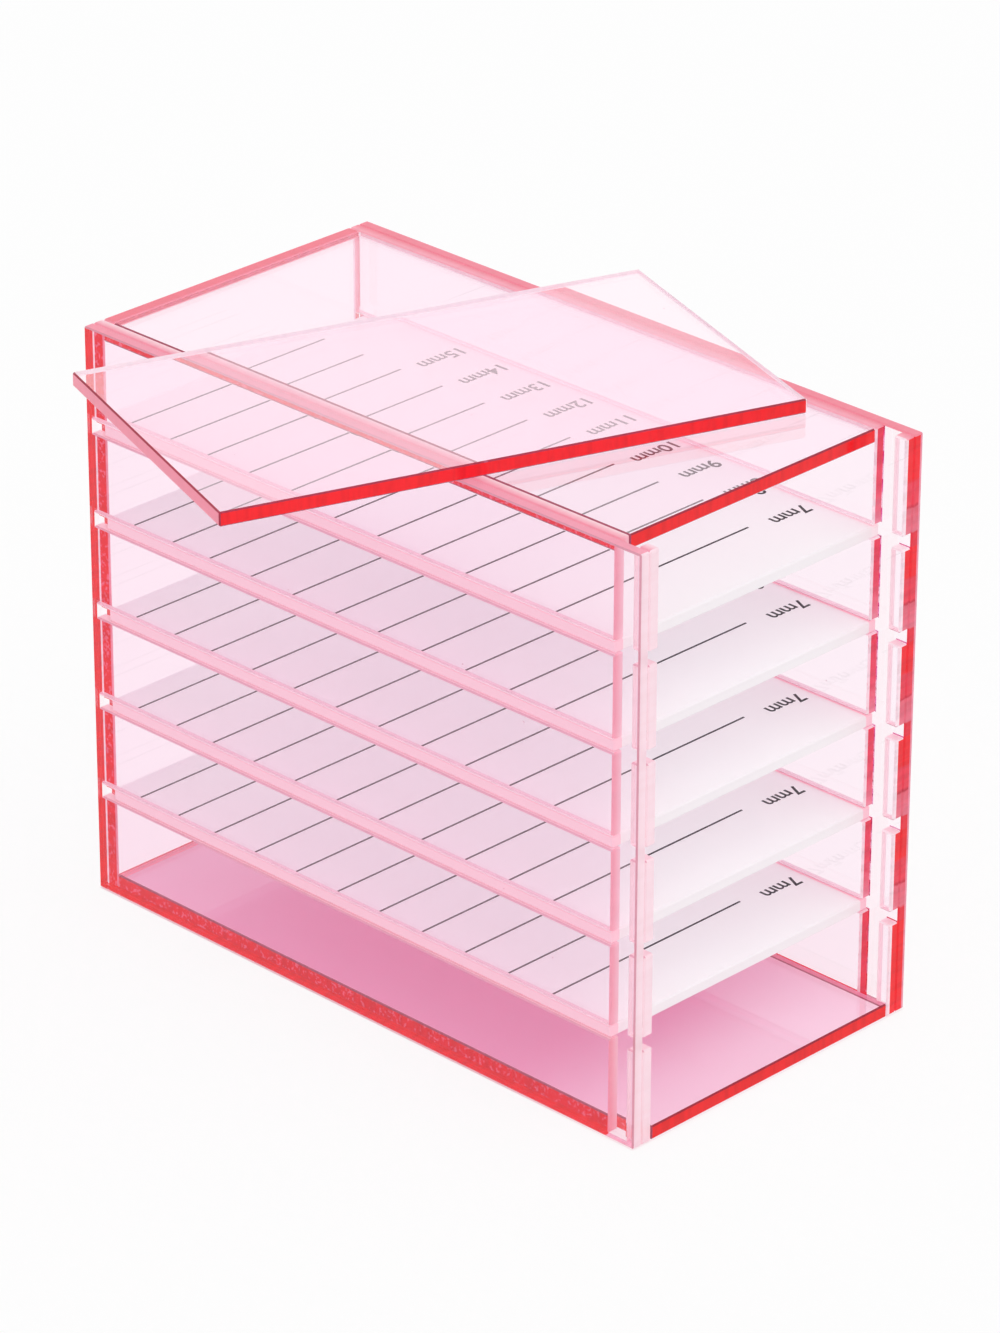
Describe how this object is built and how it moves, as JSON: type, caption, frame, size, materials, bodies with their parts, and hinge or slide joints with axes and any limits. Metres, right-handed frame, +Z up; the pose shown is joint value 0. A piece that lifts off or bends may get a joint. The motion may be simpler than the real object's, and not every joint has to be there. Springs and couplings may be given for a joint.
{
  "type": "eyelash storage organizer",
  "caption": "Clear tinted acrylic box with white slide-out lash tiles in side slots, open at one end, with its loose front cover lying on top.",
  "frame": {"origin": "centre of the box's footprint, on the surface it stands on", "axes": "+Z up, +X towards the open end where the tiles slide out, +Y towards the right side panel seen from that end"},
  "size_m": [0.15, 0.1378, 0.1271],
  "materials": {
    "tinted_acrylic": "clear fluorescent pink acrylic, polished, with glowing red cut edges",
    "opal_tile": "opaque white acrylic, glossy, with thin black rules and plain numbers"
  },
  "bodies": {
    "case": {"base_plate": "tinted_acrylic", "top_plate": "tinted_acrylic", "rear_panel": "tinted_acrylic", "left_panel": "tinted_acrylic", "right_panel": "tinted_acrylic", "left_strip_1": "tinted_acrylic", "left_strip_2": "tinted_acrylic", "left_strip_3": "tinted_acrylic", "left_strip_4": "tinted_acrylic", "left_strip_5": "tinted_acrylic", "left_strip_6": "tinted_acrylic", "left_post_1": "tinted_acrylic", "left_post_2": "tinted_acrylic", "left_post_3": "tinted_acrylic", "left_post_4": "tinted_acrylic", "left_post_5": "tinted_acrylic", "left_post_6": "tinted_acrylic", "right_strip_1": "tinted_acrylic", "right_strip_2": "tinted_acrylic", "right_strip_3": "tinted_acrylic", "right_strip_4": "tinted_acrylic", "right_strip_5": "tinted_acrylic", "right_strip_6": "tinted_acrylic", "right_post_1": "tinted_acrylic", "right_post_2": "tinted_acrylic", "right_post_3": "tinted_acrylic", "right_post_4": "tinted_acrylic", "right_post_5": "tinted_acrylic", "right_post_6": "tinted_acrylic"},
    "tile_1": {"tile_1": "opal_tile"},
    "tile_2": {"tile_2": "opal_tile"},
    "tile_3": {"tile_3": "opal_tile"},
    "tile_4": {"tile_4": "opal_tile"},
    "tile_5": {"tile_5": "opal_tile"},
    "cover": {"front_cover": "tinted_acrylic"}
  },
  "joints": [
    {"name": "tile_1_slide", "type": "slide", "parent": "case", "child": "tile_1", "axis": [1, 0, 0], "range_m": [0, 0.15]},
    {"name": "tile_2_slide", "type": "slide", "parent": "case", "child": "tile_2", "axis": [1, 0, 0], "range_m": [0, 0.15]},
    {"name": "tile_3_slide", "type": "slide", "parent": "case", "child": "tile_3", "axis": [1, 0, 0], "range_m": [0, 0.15]},
    {"name": "tile_4_slide", "type": "slide", "parent": "case", "child": "tile_4", "axis": [1, 0, 0], "range_m": [0, 0.15]},
    {"name": "tile_5_slide", "type": "slide", "parent": "case", "child": "tile_5", "axis": [1, 0, 0], "range_m": [0, 0.15]},
    {"name": "cover_lift", "type": "slide", "parent": "case", "child": "cover", "axis": [0, 0, 1], "range_m": [0, 0.13]}
  ]
}
